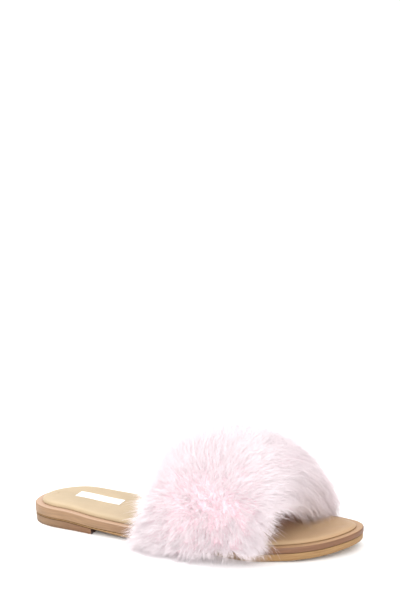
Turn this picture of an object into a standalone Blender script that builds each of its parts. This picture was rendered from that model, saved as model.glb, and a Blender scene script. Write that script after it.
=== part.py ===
"""Faux fur slide sandal, right shoe, as separate solids.

The toe points to +X, the outer (lateral) side to -Y and +Z is up. The origin lies on the
floor under the ball of the foot. Lengths are in metres.
"""

import math
import random
from collections import namedtuple

import bmesh
import bpy
from mathutils import Vector

# Sole
SOLE_LENGTH = 0.255
BALL_WIDTH = 0.0896
HEEL_LIFT_HEIGHT = 0.0065
HEEL_LIFT_LENGTH = 0.058
HEEL_LIFT_TAPER = 0.0006
TOE_SPRING = 0.0070
OUTSOLE_THICKNESS = 0.0056
MIDSOLE_THICKNESS = 0.0066
SIDE_STEP = 0.0004
RIM_WIDTH = 0.0059
RIM_ROUND = 0.0009
ORIGIN_ALONG = 0.60

# Insole and its label
INSOLE_THICKNESS = 0.0034
INSOLE_ROUND = 0.0030
INSOLE_DISH = 0.0005
LABEL_LENGTH = 0.037
LABEL_WIDTH = 0.0110
LABEL_THICKNESS = 0.0004
LABEL_ALONG = 0.195
LABEL_ACROSS = 0.0015

# Strap
STRAP_WALL = 0.0022
STRAP_WIDTH = 0.062
STRAP_ALONG = 0.627
STRAP_SLANT = 0.024
STRAP_RISE = 0.044
STRAP_BOX = 2.3
STRAP_LEAN = 0.002
SLOT_DEPTH = 0.003
SLOT_END_GAP = 0.0012

# Fur pile on the strap
FUR_LENGTH = 0.0240
FUR_LOCK = 0.0125
FUR_LOCK_SUNK = 0.30
FUR_DROOP = 0.40
FUR_UNEVEN = 0.0020
FUR_HEM_HEIGHT = 0.0035
FUR_FLOOR_GAP = 0.0015
FUR_FAN = math.radians(76)
FUR_SEAT_GAP = 0.0005
FUR_COLUMNS = 11
FUR_SEED = 11

# Space between pieces that touch
GAP = 0.0003
SIDE_STATIONS = 30

# Plan of the sole. Centre and half width are shares of half the ball width, before the
# heel's and toe's round ends are taken off.
Plan = namedtuple("Plan", "along centre half")
PLAN = (
    Plan(0.00, -0.07, 0.61),
    Plan(0.13, 0.035, 0.685),
    Plan(0.25, 0.02, 0.76),
    Plan(0.38, -0.02, 0.785),
    Plan(0.50, -0.03, 0.82),
    Plan(0.62, -0.015, 0.915),
    Plan(0.72, 0.015, 1.00),
    Plan(0.82, 0.065, 0.895),
    Plan(1.00, 0.21, 0.66),
)
HEEL_END = 0.13
TOE_END = 0.18
HEEL_SQUARENESS = 2.2
TOE_SQUARENESS = 2.05

# Levels of the sole: lift is a share of the heel lift's height, spring of the toe spring,
# outsole and midsole of their own thicknesses.
Level = namedtuple("Level", "along lift spring outsole midsole")
LEVELS = (
    Level(0.00, 1.00, 0.00, 0.23, 1.04),
    Level(0.12, 0.98, 0.00, 0.23, 1.05),
    Level(0.23, 0.68, 0.00, 0.27, 0.96),
    Level(0.36, 0.30, 0.00, 0.50, 0.88),
    Level(0.50, 0.00, 0.00, 0.80, 0.82),
    Level(0.62, 0.00, 0.00, 1.00, 0.69),
    Level(0.72, 0.00, 0.00, 1.00, 0.68),
    Level(0.82, 0.00, 0.15, 1.00, 0.67),
    Level(0.91, 0.00, 0.42, 0.95, 0.66),
    Level(1.00, 0.00, 1.00, 0.86, 0.64),
)

# Height of the instep along the last, as a share of the strap's rise.
Instep = namedtuple("Instep", "along rise")
INSTEP = (
    Instep(0.40, 1.18),
    Instep(0.50, 1.08),
    Instep(0.60, 1.00),
    Instep(0.70, 0.88),
    Instep(0.80, 0.74),
)

# The pile's rows from the hem up to the strap, on both sides. Out is the share of the way
# from the strap's foot to the sole's side, up is the share of the way from the hem to the
# rim, tilt is the hair's angle above level in degrees and depth a share of the pile's
# length. Rear and front are the depth at the pile's two edges as shares of that.
HemRow = namedtuple("HemRow", "out up tilt depth rear front")
HEM_ROWS = (
    HemRow(1.00, 0.00, -6, 0.60, 1.60, 0.95),
    HemRow(1.00, 0.55, -2, 0.70, 1.50, 1.00),
    HemRow(1.00, 1.00, 8, 0.78, 1.40, 1.05),
    HemRow(0.35, 1.00, 18, 0.84, 1.30, 1.08),
)
HEM_INNER_FRONT = 0.80

# The pile's rows over the strap: place round the arch from the outer side to the inner
# side, and the same three depths.
ArchRow = namedtuple("ArchRow", "round depth rear front")
ARCH_ROWS = (
    ArchRow(0.05, 0.86, 1.20, 1.10),
    ArchRow(0.11, 0.87, 1.12, 1.08),
    ArchRow(0.17, 0.88, 1.04, 1.05),
    ArchRow(0.23, 0.90, 0.96, 1.05),
    ArchRow(0.29, 0.92, 0.88, 1.08),
    ArchRow(0.35, 0.94, 0.80, 1.12),
    ArchRow(0.41, 0.96, 0.74, 1.18),
    ArchRow(0.47, 0.97, 0.72, 1.24),
    ArchRow(0.53, 0.97, 0.72, 1.30),
    ArchRow(0.59, 0.96, 0.74, 1.34),
    ArchRow(0.65, 0.95, 0.78, 1.36),
    ArchRow(0.71, 0.94, 0.82, 1.34),
    ArchRow(0.77, 0.91, 0.86, 1.30),
    ArchRow(0.83, 0.88, 0.90, 1.22),
    ArchRow(0.89, 0.84, 0.95, 1.12),
    ArchRow(0.95, 0.80, 1.00, 1.02),
)

# A lock's steps from its foot to near its tip: how far along it, and how wide there.
LockStep = namedtuple("LockStep", "reach width")
LOCK_STEPS = (LockStep(0.38, 0.80), LockStep(0.74, 0.44))

Finish = namedtuple("Finish", "colour roughness metallic")
FINISHES = {
    "outsole": Finish((0.47, 0.28, 0.13), 0.62, 0.0),
    "heel_lift": Finish((0.34, 0.21, 0.11), 0.60, 0.0),
    "midsole": Finish((0.35, 0.19, 0.10), 0.55, 0.0),
    "insole": Finish((0.78, 0.60, 0.40), 0.50, 0.0),
    "insole_label": Finish((0.92, 0.92, 0.90), 0.35, 0.0),
    "upper_strap": Finish((0.83, 0.60, 0.62), 0.80, 0.0),
    "fur": Finish((0.93, 0.76, 0.81), 0.90, 0.0),
}


def clear_scene():
    for obj in list(bpy.data.objects):
        bpy.data.objects.remove(obj, do_unlink=True)


def new_collection(name):
    collection = bpy.data.collections.new(name)
    bpy.context.scene.collection.children.link(collection)
    return collection


def finish_material(name):
    finish = FINISHES[name]
    material = bpy.data.materials.new(name)
    material.use_nodes = True
    shader = material.node_tree.nodes["Principled BSDF"]
    shader.inputs["Base Color"].default_value = (*finish.colour, 1.0)
    shader.inputs["Roughness"].default_value = finish.roughness
    shader.inputs["Metallic"].default_value = finish.metallic
    return material


def table_slope(rows, column, i):
    """Slope of a table's column at row i that never overshoots its neighbours."""
    spans = [rows[k + 1].along - rows[k].along for k in range(len(rows) - 1)]
    rates = [
        (getattr(rows[k + 1], column) - getattr(rows[k], column)) / spans[k]
        for k in range(len(spans))
    ]
    if i == 0:
        return rates[0]
    if i == len(rows) - 1:
        return rates[-1]
    before, after = rates[i - 1], rates[i]
    if before * after <= 0:
        return 0.0
    weight_before = 2 * spans[i] + spans[i - 1]
    weight_after = spans[i] + 2 * spans[i - 1]
    return (weight_before + weight_after) / (weight_before / before + weight_after / after)


def read_table(rows, column, along):
    """Value of a table's column at a place between its rows, on a smooth curve."""
    along = min(max(along, rows[0].along), rows[-1].along)
    i = 0
    while i < len(rows) - 2 and along > rows[i + 1].along:
        i += 1
    span = rows[i + 1].along - rows[i].along
    t = (along - rows[i].along) / span
    start, end = getattr(rows[i], column), getattr(rows[i + 1], column)
    slope_start = table_slope(rows, column, i) * span
    slope_end = table_slope(rows, column, i + 1) * span
    return (
        start * (2 * t**3 - 3 * t**2 + 1)
        + slope_start * (t**3 - 2 * t**2 + t)
        + end * (3 * t**2 - 2 * t**3)
        + slope_end * (t**3 - t**2)
    )


def share_along(x):
    """Share of the sole's length from the heel's back, for an x in the shoe's frame."""
    return x / SOLE_LENGTH + ORIGIN_ALONG


def place_along(along):
    return (along - ORIGIN_ALONG) * SOLE_LENGTH


def end_rounding(along):
    """Factor on the half width that closes the heel and the toe in round ends."""
    if along < HEEL_END:
        rest, squareness = 1 - along / HEEL_END, HEEL_SQUARENESS
    elif along > 1 - TOE_END:
        rest, squareness = 1 - (1 - along) / TOE_END, TOE_SQUARENESS
    else:
        return 1.0
    return max(0.0, 1 - min(rest, 1.0) ** squareness) ** (1 / squareness)


def side_of_sole(x, side):
    """Y of the sole's edge at x, where side is -1 for the outer and 1 for the inner side."""
    along = share_along(x)
    centre = read_table(PLAN, "centre", along)
    half = read_table(PLAN, "half", along) * end_rounding(along)
    return (centre + side * half) * BALL_WIDTH / 2


def tread_height(x):
    along = share_along(x)
    lift = HEEL_LIFT_HEIGHT * read_table(LEVELS, "lift", along)
    return lift + TOE_SPRING * read_table(LEVELS, "spring", along)


def seam_height(x):
    """Height of the seam between the outsole and the midsole."""
    return tread_height(x) + OUTSOLE_THICKNESS * read_table(LEVELS, "outsole", share_along(x))


def rim_height(x):
    return seam_height(x) + MIDSOLE_THICKNESS * read_table(LEVELS, "midsole", share_along(x))


def station_shares():
    """Places along the sole, close together in the round ends."""
    ends = 9
    heel = [HEEL_END * (1 - math.cos(math.pi / 2 * k / ends)) for k in range(ends)]
    toe = [1 - TOE_END * (1 - math.cos(math.pi / 2 * k / ends)) for k in range(ends)]
    middle = SIDE_STATIONS - 2 * ends
    run = 1 - HEEL_END - TOE_END
    between = [HEEL_END + run * k / middle for k in range(middle + 1)]
    return heel + between + toe[::-1]


def sole_loop(inset):
    """Plan points at an inset from the sole's edge: heel tip, outer side, toe tip, inner side."""
    shares = station_shares()
    outer = [(place_along(s), side_of_sole(place_along(s), -1)) for s in shares]
    inner = [(place_along(s), side_of_sole(place_along(s), 1)) for s in shares[-2:0:-1]]
    loop = outer + inner
    moved = []
    for k, (x, y) in enumerate(loop):
        ahead, behind = loop[(k + 1) % len(loop)], loop[k - 1]
        run = Vector((ahead[0] - behind[0], ahead[1] - behind[1])).normalized()
        moved.append((x - run.y * inset, y + run.x * inset))
    return moved


def add_ring(bm, inset, height):
    return [bm.verts.new((x, y, height(x))) for x, y in sole_loop(inset)]


def cap_ring(bm, ring, up):
    """Closes a ring with strips that run straight across the sole."""
    count = len(ring)
    half = count // 2
    faces = [[ring[0], ring[1], ring[count - 1]]]
    for k in range(1, half - 1):
        faces.append([ring[k], ring[k + 1], ring[count - k - 1], ring[count - k]])
    faces.append([ring[half - 1], ring[half], ring[half + 1]])
    for face in faces:
        bm.faces.new(face if up else face[::-1])


def join_rings(bm, lower, upper):
    for k in range(len(lower)):
        n = (k + 1) % len(lower)
        bm.faces.new([lower[k], lower[n], upper[n], upper[k]])


def finish_object(bm, name, collection, smooth_angle=math.radians(40)):
    bmesh.ops.recalc_face_normals(bm, faces=bm.faces)
    mesh = bpy.data.meshes.new(name)
    bm.to_mesh(mesh)
    bm.free()
    mesh.shade_smooth()
    mesh.set_sharp_from_angle(angle=smooth_angle)
    obj = bpy.data.objects.new(name, mesh)
    if name in FINISHES:
        mesh.materials.append(finish_material(name))
    collection.objects.link(obj)
    return obj


def stacked_rings(name, rings, collection):
    """Solid of the sole's outline from rings of (inset, height function), bottom first."""
    bm = bmesh.new()
    made = [add_ring(bm, inset, height) for inset, height in rings]
    cap_ring(bm, made[0], up=False)
    for lower, upper in zip(made, made[1:]):
        join_rings(bm, lower, upper)
    cap_ring(bm, made[-1], up=True)
    return finish_object(bm, name, collection)


def raised(height, rise):
    return lambda x: height(x) + rise


def make_outsole(collection):
    rings = (
        (SIDE_STEP * 2, tread_height),
        (SIDE_STEP, raised(tread_height, SIDE_STEP)),
        (SIDE_STEP, raised(seam_height, -GAP)),
    )
    return stacked_rings("outsole", rings, collection)


def make_heel_lift(collection):
    """The heel block: the sole's outline back of the breast, flat below, tapered slightly."""
    floor = lambda x: 0.0
    top = raised(tread_height, -GAP)
    rings = ((SIDE_STEP + HEEL_LIFT_TAPER, floor), (SIDE_STEP, top))
    block = stacked_rings("heel_lift", rings, collection)
    bm = bmesh.new()
    bm.from_mesh(block.data)
    breast = place_along(0) + HEEL_LIFT_LENGTH
    geometry = bm.verts[:] + bm.edges[:] + bm.faces[:]
    cut = bmesh.ops.bisect_plane(
        bm, geom=geometry, plane_co=(breast, 0, 0), plane_no=(1, 0, 0), clear_outer=True
    )
    edges = [item for item in cut["geom_cut"] if isinstance(item, bmesh.types.BMEdge)]
    bmesh.ops.contextual_create(bm, geom=edges)
    bmesh.ops.recalc_face_normals(bm, faces=bm.faces)
    bm.to_mesh(block.data)
    bm.free()
    return block


def round_of_side(side):
    return 0.0 if side < 0 else 1.0


def make_slot_cutter(side, collection):
    """Cutter for the slot that takes one end of the strap."""
    rear = strap_rear(round_of_side(side)) - SLOT_END_GAP
    front = strap_front(round_of_side(side)) + SLOT_END_GAP
    steps = 10
    bm = bmesh.new()
    rings = []
    for k in range(steps + 1):
        x = rear + (front - rear) * k / steps
        inner = side_of_sole(x, side) - side * (RIM_WIDTH + GAP)
        outer = side_of_sole(x, side) - side * (RIM_WIDTH - 3 * GAP - STRAP_WALL)
        low, high = rim_height(x) - SLOT_DEPTH - GAP, rim_height(x) + STRAP_WALL
        corners = ((inner, low), (outer, low), (outer, high), (inner, high))
        rings.append([bm.verts.new((x, y, z)) for y, z in corners])
    for first, second in zip(rings, rings[1:]):
        join_rings(bm, first, second)
    bm.faces.new(rings[0])
    bm.faces.new(rings[-1][::-1])
    cutter = finish_object(bm, "slot_cutter" + ("_outer" if side < 0 else "_inner"), collection)
    cutter.hide_render = True
    cutter.display_type = "WIRE"
    return cutter


def make_midsole(collection, cutters):
    """Side band with a rounded rim, and a slot each side for the strap's ends."""
    rings = (
        (0.0, raised(seam_height, 0.0)),
        (0.0, raised(rim_height, -RIM_ROUND)),
        (RIM_ROUND * 0.3, raised(rim_height, -RIM_ROUND * 0.3)),
        (RIM_ROUND, rim_height),
        (RIM_WIDTH * 2, rim_height),
    )
    band = stacked_rings("midsole", rings, collection)
    for side in (-1, 1):
        cut = band.modifiers.new("slot" + ("_outer" if side < 0 else "_inner"), "BOOLEAN")
        cut.operation = "DIFFERENCE"
        cut.object = make_slot_cutter(side, cutters)
    return band


def make_insole(collection):
    """Padded footbed: rounded edge, level top with a shallow dish."""
    base = raised(rim_height, GAP)
    rings = (
        (RIM_WIDTH + INSOLE_ROUND * 0.15, base),
        (RIM_WIDTH, raised(base, INSOLE_THICKNESS * 0.35)),
        (RIM_WIDTH + INSOLE_ROUND * 0.18, raised(base, INSOLE_THICKNESS * 0.68)),
        (RIM_WIDTH + INSOLE_ROUND * 0.50, raised(base, INSOLE_THICKNESS * 0.90)),
        (RIM_WIDTH + INSOLE_ROUND, raised(base, INSOLE_THICKNESS)),
        (RIM_WIDTH + INSOLE_ROUND * 3, raised(base, INSOLE_THICKNESS - INSOLE_DISH)),
    )
    return stacked_rings("insole", rings, collection)


def insole_top(x):
    return rim_height(x) + GAP + INSOLE_THICKNESS - INSOLE_DISH


def make_label(collection):
    """Small plain patch on the heel of the insole, which it follows along its length."""
    middle = place_along(LABEL_ALONG)
    centre = (side_of_sole(middle, -1) + side_of_sole(middle, 1)) / 2 + LABEL_ACROSS
    bm = bmesh.new()
    grid = bmesh.ops.create_grid(bm, x_segments=7, y_segments=1, size=0.5)
    for vert in grid["verts"]:
        x = middle + vert.co.x * LABEL_LENGTH
        vert.co = Vector((x, centre + vert.co.y * LABEL_WIDTH, insole_top(x) + GAP))
    label = finish_object(bm, "insole_label", collection)
    wall = label.modifiers.new("thickness", "SOLIDIFY")
    wall.thickness = LABEL_THICKNESS
    wall.offset = 1.0
    return label


def strap_rear(round_share):
    slant = STRAP_SLANT * (round_share - 0.5)
    return place_along(STRAP_ALONG) + slant - STRAP_WIDTH / 2


def strap_front(round_share):
    return strap_rear(round_share) + STRAP_WIDTH


def arch_inside(x, round_share):
    """Point on the strap's inner face at x; the share runs from the outer to the inner side."""
    outer_foot = side_of_sole(x, -1) + RIM_WIDTH - 2 * GAP
    inner_foot = side_of_sole(x, 1) - RIM_WIDTH + 2 * GAP
    middle, half = (outer_foot + inner_foot) / 2, (inner_foot - outer_foot) / 2
    rise = INSOLE_THICKNESS + STRAP_RISE * read_table(INSTEP, "rise", share_along(x))
    angle = math.pi * min(max(round_share, 0.0), 1.0)
    across = -math.copysign(abs(math.cos(angle)) ** (2 / STRAP_BOX), math.cos(angle))
    up = max(math.sin(angle), 0.0) ** (2 / STRAP_BOX)
    lean = STRAP_LEAN * up**2
    return Vector((x, middle + half * across + lean, rim_height(x) + rise * up))


def arch_outward(x, round_share):
    """Unit vector out of the strap, across the shoe."""
    step = 0.004
    ahead = arch_inside(x, min(round_share + step, 1.0))
    behind = arch_inside(x, max(round_share - step, 0.0))
    run = ahead - behind
    return Vector((0, -run.z, run.y)).normalized()


def strap_outside(x, round_share, lift):
    """Point at a height over the strap's outer face."""
    return arch_inside(x, round_share) + arch_outward(x, round_share) * (STRAP_WALL + lift)


def make_strap(collection):
    """One wide band: an open arch given its wall, with ends that go down into the slots."""
    rounds, widths = 36, 8
    bm = bmesh.new()
    rows = []
    for i in range(rounds + 1):
        share = i / rounds
        row = []
        for j in range(widths + 1):
            x = strap_rear(share) + STRAP_WIDTH * j / widths
            row.append(bm.verts.new(arch_inside(x, share)))
        rows.append(row)
    for end, order in ((rows[0], 0), (rows[-1], len(rows) + 1)):
        foot = [bm.verts.new(v.co - Vector((0, 0, SLOT_DEPTH))) for v in end]
        rows.insert(order, foot)
    for first, second in zip(rows, rows[1:]):
        for j in range(widths):
            bm.faces.new([first[j], first[j + 1], second[j + 1], second[j]])
    strap = finish_object(bm, "upper_strap", collection)
    wall = strap.modifiers.new("wall", "SOLIDIFY")
    wall.thickness = STRAP_WALL
    wall.offset = 1.0
    wall.use_even_offset = True
    return strap


def hem_root(x, row, side):
    """Seat of a hair row that hangs over the rim and down the sole's side."""
    edge = side_of_sole(x, side) + side * 2 * FUR_SEAT_GAP
    foot = strap_outside(x, round_of_side(side), FUR_SEAT_GAP).y
    top = rim_height(x) + 2 * FUR_SEAT_GAP
    y = foot + (edge - foot) * row.out
    z = FUR_HEM_HEIGHT + (top - FUR_HEM_HEIGHT) * row.up
    return Vector((x, y, z))


def hem_outward(row, side):
    tilt = math.radians(row.tilt)
    return Vector((0, side * math.cos(tilt), math.sin(tilt)))


def pile_rows():
    """Each row of the pile, outer hem to inner hem: its place round, its seat and its table row."""
    rows = []
    for row in HEM_ROWS:
        rows.append((0.0, lambda x, r=row: (hem_root(x, r, -1), hem_outward(r, -1)), row))
    for row in ARCH_ROWS:
        share = row.round
        seat = lambda x, s=share: (strap_outside(x, s, FUR_SEAT_GAP), arch_outward(x, s))
        rows.append((share, seat, row))
    for row in reversed(HEM_ROWS):
        trimmed = row._replace(front=row.front * HEM_INNER_FRONT)
        rows.append((1.0, lambda x, r=row: (hem_root(x, r, 1), hem_outward(r, 1)), trimmed))
    return rows


def pile_depth(row, across):
    """Depth of the pile at a share of the way from its rear to its front edge."""
    edge = row.rear if across < 0.5 else row.front
    nearness = abs(2 * across - 1)
    return FUR_LENGTH * row.depth * (1 + (edge - 1) * nearness**1.5)


def pile_grid(chance):
    """Seats and surface of the pile, rear to front in each row, and each place's hair way."""
    seats, skin, ways = [], [], []
    for share, seat_of, row in pile_rows():
        seat_row, skin_row, way_row = [], [], []
        for j in range(FUR_COLUMNS + 1):
            across = j / FUR_COLUMNS
            seat, outward = seat_of(strap_rear(share) + STRAP_WIDTH * across)
            fan = FUR_FAN * (2 * across - 1)
            way = outward * math.cos(fan) + Vector((math.sin(fan), 0, 0))
            depth = pile_depth(row, across) - FUR_LOCK * (1 - FUR_LOCK_SUNK)
            uneven = Vector([chance.uniform(-FUR_UNEVEN, FUR_UNEVEN) for _ in range(3)])
            seat_row.append(seat)
            skin_row.append(above_floor(seat + way * depth + uneven))
            way_row.append(way)
        seats.append(seat_row)
        skin.append(skin_row)
        ways.append(way_row)
    return seats, skin, ways


def grid_faces(bm, rows, flip):
    faces = []
    for first, second in zip(rows, rows[1:]):
        for j in range(len(first) - 1):
            corners = [first[j], first[j + 1], second[j + 1], second[j]]
            faces.append(bm.faces.new(corners[::-1] if flip else corners))
    return faces


def wall_faces(bm, low, high):
    for k in range(len(low) - 1):
        bm.faces.new([low[k], low[k + 1], high[k + 1], high[k]])


def above_floor(point):
    return Vector((point.x, point.y, max(point.z, FUR_FLOOR_GAP)))


def grow_lock(bm, face, way, length):
    """Draws one tapered lock out of a face of the pile, drooping as it leaves the upright."""
    foot = face.calc_center_median()
    droop = Vector((0, 0, -FUR_DROOP * (1 - abs(way.z))))
    centre, width = foot, 1.0
    for step in LOCK_STEPS:
        face = bmesh.ops.extrude_discrete_faces(bm, faces=[face])["faces"][0]
        moved = foot + (way + droop * step.reach) * length * step.reach
        for vert in face.verts:
            vert.co = above_floor(moved + (vert.co - centre) * (step.width / width))
        centre, width = face.calc_center_median(), step.width
    tip = bmesh.ops.poke(bm, faces=[face])["verts"][0]
    tip.co = above_floor(foot + (way + droop) * length)


def make_fur(collection):
    """The pile as one shell over the strap, with a lock fused on each cell of its outside."""
    chance = random.Random(FUR_SEED)
    seats, skin, ways = pile_grid(chance)
    bm = bmesh.new()
    inside = [[bm.verts.new(p) for p in row] for row in seats]
    outside = [[bm.verts.new(p) for p in row] for row in skin]
    grid_faces(bm, inside, flip=True)
    cells = grid_faces(bm, outside, flip=False)
    wall_faces(bm, inside[0], outside[0])
    wall_faces(bm, outside[-1], inside[-1])
    wall_faces(bm, [r[0] for r in outside], [r[0] for r in inside])
    wall_faces(bm, [r[-1] for r in inside], [r[-1] for r in outside])
    for k, face in enumerate(cells):
        i, j = divmod(k, FUR_COLUMNS)
        way = (ways[i][j] + ways[i + 1][j + 1]).normalized()
        stray = Vector([chance.uniform(-0.25, 0.25) for _ in range(3)])
        grow_lock(bm, face, (way + stray).normalized(), FUR_LOCK * chance.uniform(0.75, 1.25))
    return finish_object(bm, "fur", collection, math.radians(60))


def main():
    clear_scene()
    parts = new_collection("slide_sandal")
    cutters = new_collection("cutters")
    cutters.hide_render = True
    make_outsole(parts)
    make_heel_lift(parts)
    make_midsole(parts, cutters)
    make_insole(parts)
    make_label(parts)
    make_strap(parts)
    make_fur(parts)


main()
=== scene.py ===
import math
from collections import namedtuple

import bmesh
import bpy
import numpy as np
from mathutils import Euler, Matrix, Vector


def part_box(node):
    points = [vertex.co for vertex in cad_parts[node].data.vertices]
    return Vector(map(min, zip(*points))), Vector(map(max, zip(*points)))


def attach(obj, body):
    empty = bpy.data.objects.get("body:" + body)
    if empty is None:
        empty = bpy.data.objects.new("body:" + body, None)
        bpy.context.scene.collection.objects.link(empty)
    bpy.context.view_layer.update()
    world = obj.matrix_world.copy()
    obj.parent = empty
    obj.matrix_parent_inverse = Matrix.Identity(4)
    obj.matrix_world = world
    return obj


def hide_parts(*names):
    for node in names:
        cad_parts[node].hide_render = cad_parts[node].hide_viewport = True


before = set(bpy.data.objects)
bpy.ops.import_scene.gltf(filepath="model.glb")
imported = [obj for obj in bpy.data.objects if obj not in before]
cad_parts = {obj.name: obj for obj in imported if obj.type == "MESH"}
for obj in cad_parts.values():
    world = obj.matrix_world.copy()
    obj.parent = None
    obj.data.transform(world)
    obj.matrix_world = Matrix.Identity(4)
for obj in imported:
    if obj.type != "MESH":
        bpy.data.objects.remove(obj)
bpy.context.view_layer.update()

bl_info = {
    "name": "Faux Fur Slide Sandal",
    "version": (1, 0, 0),
    "blender": (4, 5, 0),
    "location": "View3D > Sidebar > Sandal",
    "description": "Surfaces, fur and studio for a flat slide sandal with a faux fur strap",
    "category": "Object",
}

BODY = "root"
MM = 0.001

# The shoe lies in the frame with its toe to +X and its outer side to -Y.
SOLE_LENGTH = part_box("midsole")[1][0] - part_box("midsole")[0][0]
HEEL_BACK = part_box("midsole")[0][0]
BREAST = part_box("heel_lift")[1][0]
BALL_WIDTH = 89.6 * MM
HEEL_LIFT_HEIGHT = 6.5 * MM
TOE_SPRING = 7.0 * MM
OUTSOLE_THICKNESS = 5.6 * MM
MIDSOLE_THICKNESS = 6.6 * MM
RIM_WIDTH = 5.9 * MM
INSOLE_THICKNESS = 3.4 * MM
PAD_RISE = 3.6 * MM
PAD_PRESS = 1.0 * MM
LABEL_RISE = 3.5 * MM
LABEL_THICKNESS = 0.3 * MM
SEAT_GAP = 0.3 * MM
CREASE = math.radians(50)
END_STATIONS = 22
MIDDLE_STATIONS = 46

# Plan of the sole, as shares of half the ball width before its ends are rounded.
Plan = namedtuple("Plan", "along centre half")
PLAN = (
    Plan(0.00, -0.07, 0.61),
    Plan(0.13, 0.035, 0.685),
    Plan(0.25, 0.02, 0.76),
    Plan(0.38, -0.02, 0.785),
    Plan(0.50, -0.03, 0.82),
    Plan(0.62, -0.015, 0.915),
    Plan(0.72, 0.015, 1.00),
    Plan(0.82, 0.065, 0.895),
    Plan(1.00, 0.21, 0.66),
)
HEEL_END = 0.13
TOE_END = 0.18
HEEL_SQUARENESS = 2.2
TOE_SQUARENESS = 2.05

# Levels of the sole: shares of the heel lift, the toe spring, and the two layers.
Level = namedtuple("Level", "along lift spring outsole midsole")
LEVELS = (
    Level(0.00, 1.00, 0.00, 0.23, 1.04),
    Level(0.12, 0.98, 0.00, 0.23, 1.05),
    Level(0.23, 0.68, 0.00, 0.27, 0.96),
    Level(0.36, 0.30, 0.00, 0.50, 0.88),
    Level(0.50, 0.00, 0.00, 0.80, 0.82),
    Level(0.62, 0.00, 0.00, 1.00, 0.69),
    Level(0.72, 0.00, 0.00, 1.00, 0.68),
    Level(0.82, 0.00, 0.15, 1.00, 0.67),
    Level(0.91, 0.00, 0.42, 0.95, 0.66),
    Level(1.00, 0.00, 1.00, 0.86, 0.64),
)


def hex_colour(text):
    """Linear colour of an sRGB hex value such as F0DFC0."""
    values = [int(text[i : i + 2], 16) / 255 for i in (0, 2, 4)]
    return tuple(v / 12.92 if v <= 0.04045 else ((v + 0.055) / 1.055) ** 2.4 for v in values)


def colour_property(name, description, text):
    return bpy.props.FloatVectorProperty(
        name=name, description=description, subtype="COLOR", size=3, min=0, max=1,
        default=hex_colour(text),
    )


def length_property(name, description, value):
    return bpy.props.FloatProperty(
        name=name, description=description, unit="LENGTH", subtype="DISTANCE", default=value,
        precision=5,
    )


class SandalSole(bpy.types.PropertyGroup):
    """Colours of the sole's layers."""

    rim: colour_property("Rim", "Leather edge round the footbed at the heel", "AE8E75")
    # Painted shade: the rim's toe colour is darker and warmer than its heel colour.
    rim_toe_painted_shade: colour_property("Rim at the toe", "The same leather, warmer", "A4815F")
    band: colour_property("Side band", "Stacked midsole edge at the heel", "927253")
    # Painted shade: the side band's toe colour is darker than its heel colour.
    band_toe_painted_shade: colour_property("Side band at the toe", "Shaded a deeper brown", "734E34")
    outsole: colour_property("Outsole", "Tan rubber sheet", "96744A")
    outsole_dark: colour_property("Outsole streaks", "Darker streaks in the outsole's edge", "84623C")
    lift: colour_property("Heel lift", "Stacked heel block", "7E6247")
    # Painted shadow: the heel breast lies in shade under the sole, and this near-black brown paints
    # that shade on its face.
    breast: colour_property("Heel breast", "Dark edge shadow at the heel's front", "3A241B")


class SandalFootbed(bpy.types.PropertyGroup):
    """Colours of the padded footbed."""

    heel: colour_property("Heel", "Leather at the heel", "AE997A")
    # Painted shade and painted pink reflection: the toe colour is darker and warmer than the heel's,
    # for the shade and pink bounce light under the pile.
    toe: colour_property("Toe", "Leather at the toe, a little more shaded", "A58664")
    label: colour_property("Label", "Plain satin patch", "FAFAF7")


class SandalFur(bpy.types.PropertyGroup):
    """Sizes and colours of the pile."""

    tips: colour_property("Tips", "Ends of the hairs", "FEF3F6")
    shafts: colour_property("Shafts", "Middle of the hairs", "FFF9FB")
    roots: colour_property("Roots", "Foot of the hairs", "FACDD9")
    backing: colour_property("Backing", "Knitted backing under the hairs", "E08FA8")
    hair: length_property("Hair", "Length of a hair that shows", 15 * MM)
    thickness: length_property("Thickness", "Thickness of a hair at its foot", 0.22 * MM)
    count: bpy.props.IntProperty(
        name="Hairs", description="Number of hairs in all", default=58000, min=1000, max=59000
    )
    tufts: bpy.props.IntProperty(
        name="Tufts", description="Number of tufts that the hairs gather in", default=4800, min=80
    )


class SandalStage(bpy.types.PropertyGroup):
    """Camera and light."""

    floor: colour_property("Floor", "Plain pale floor", "FAFAFA")
    distance: length_property("Distance", "Camera to the middle of the shoe", 0.9)
    lens: bpy.props.FloatProperty(
        name="Lens", description="Focal length in millimetres", default=69.1, min=10
    )


def table_slope(rows, column, i):
    """Slope of a table's column at row i that never overshoots its neighbours."""
    spans = [rows[k + 1].along - rows[k].along for k in range(len(rows) - 1)]
    rates = [
        (getattr(rows[k + 1], column) - getattr(rows[k], column)) / spans[k]
        for k in range(len(spans))
    ]
    if i == 0:
        return rates[0]
    if i == len(rows) - 1:
        return rates[-1]
    before, after = rates[i - 1], rates[i]
    if before * after <= 0:
        return 0.0
    weight_before = 2 * spans[i] + spans[i - 1]
    weight_after = spans[i] + 2 * spans[i - 1]
    return (weight_before + weight_after) / (weight_before / before + weight_after / after)


def read_table(rows, column, along):
    """Value of a table's column at a place between its rows, on a smooth curve."""
    along = min(max(along, rows[0].along), rows[-1].along)
    i = 0
    while i < len(rows) - 2 and along > rows[i + 1].along:
        i += 1
    span = rows[i + 1].along - rows[i].along
    t = (along - rows[i].along) / span
    start, end = getattr(rows[i], column), getattr(rows[i + 1], column)
    slope_start = table_slope(rows, column, i) * span
    slope_end = table_slope(rows, column, i + 1) * span
    return (
        start * (2 * t**3 - 3 * t**2 + 1)
        + slope_start * (t**3 - 2 * t**2 + t)
        + end * (3 * t**2 - 2 * t**3)
        + slope_end * (t**3 - t**2)
    )


def share_along(x):
    return (x - HEEL_BACK) / SOLE_LENGTH


def place_along(along):
    return HEEL_BACK + along * SOLE_LENGTH


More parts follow.
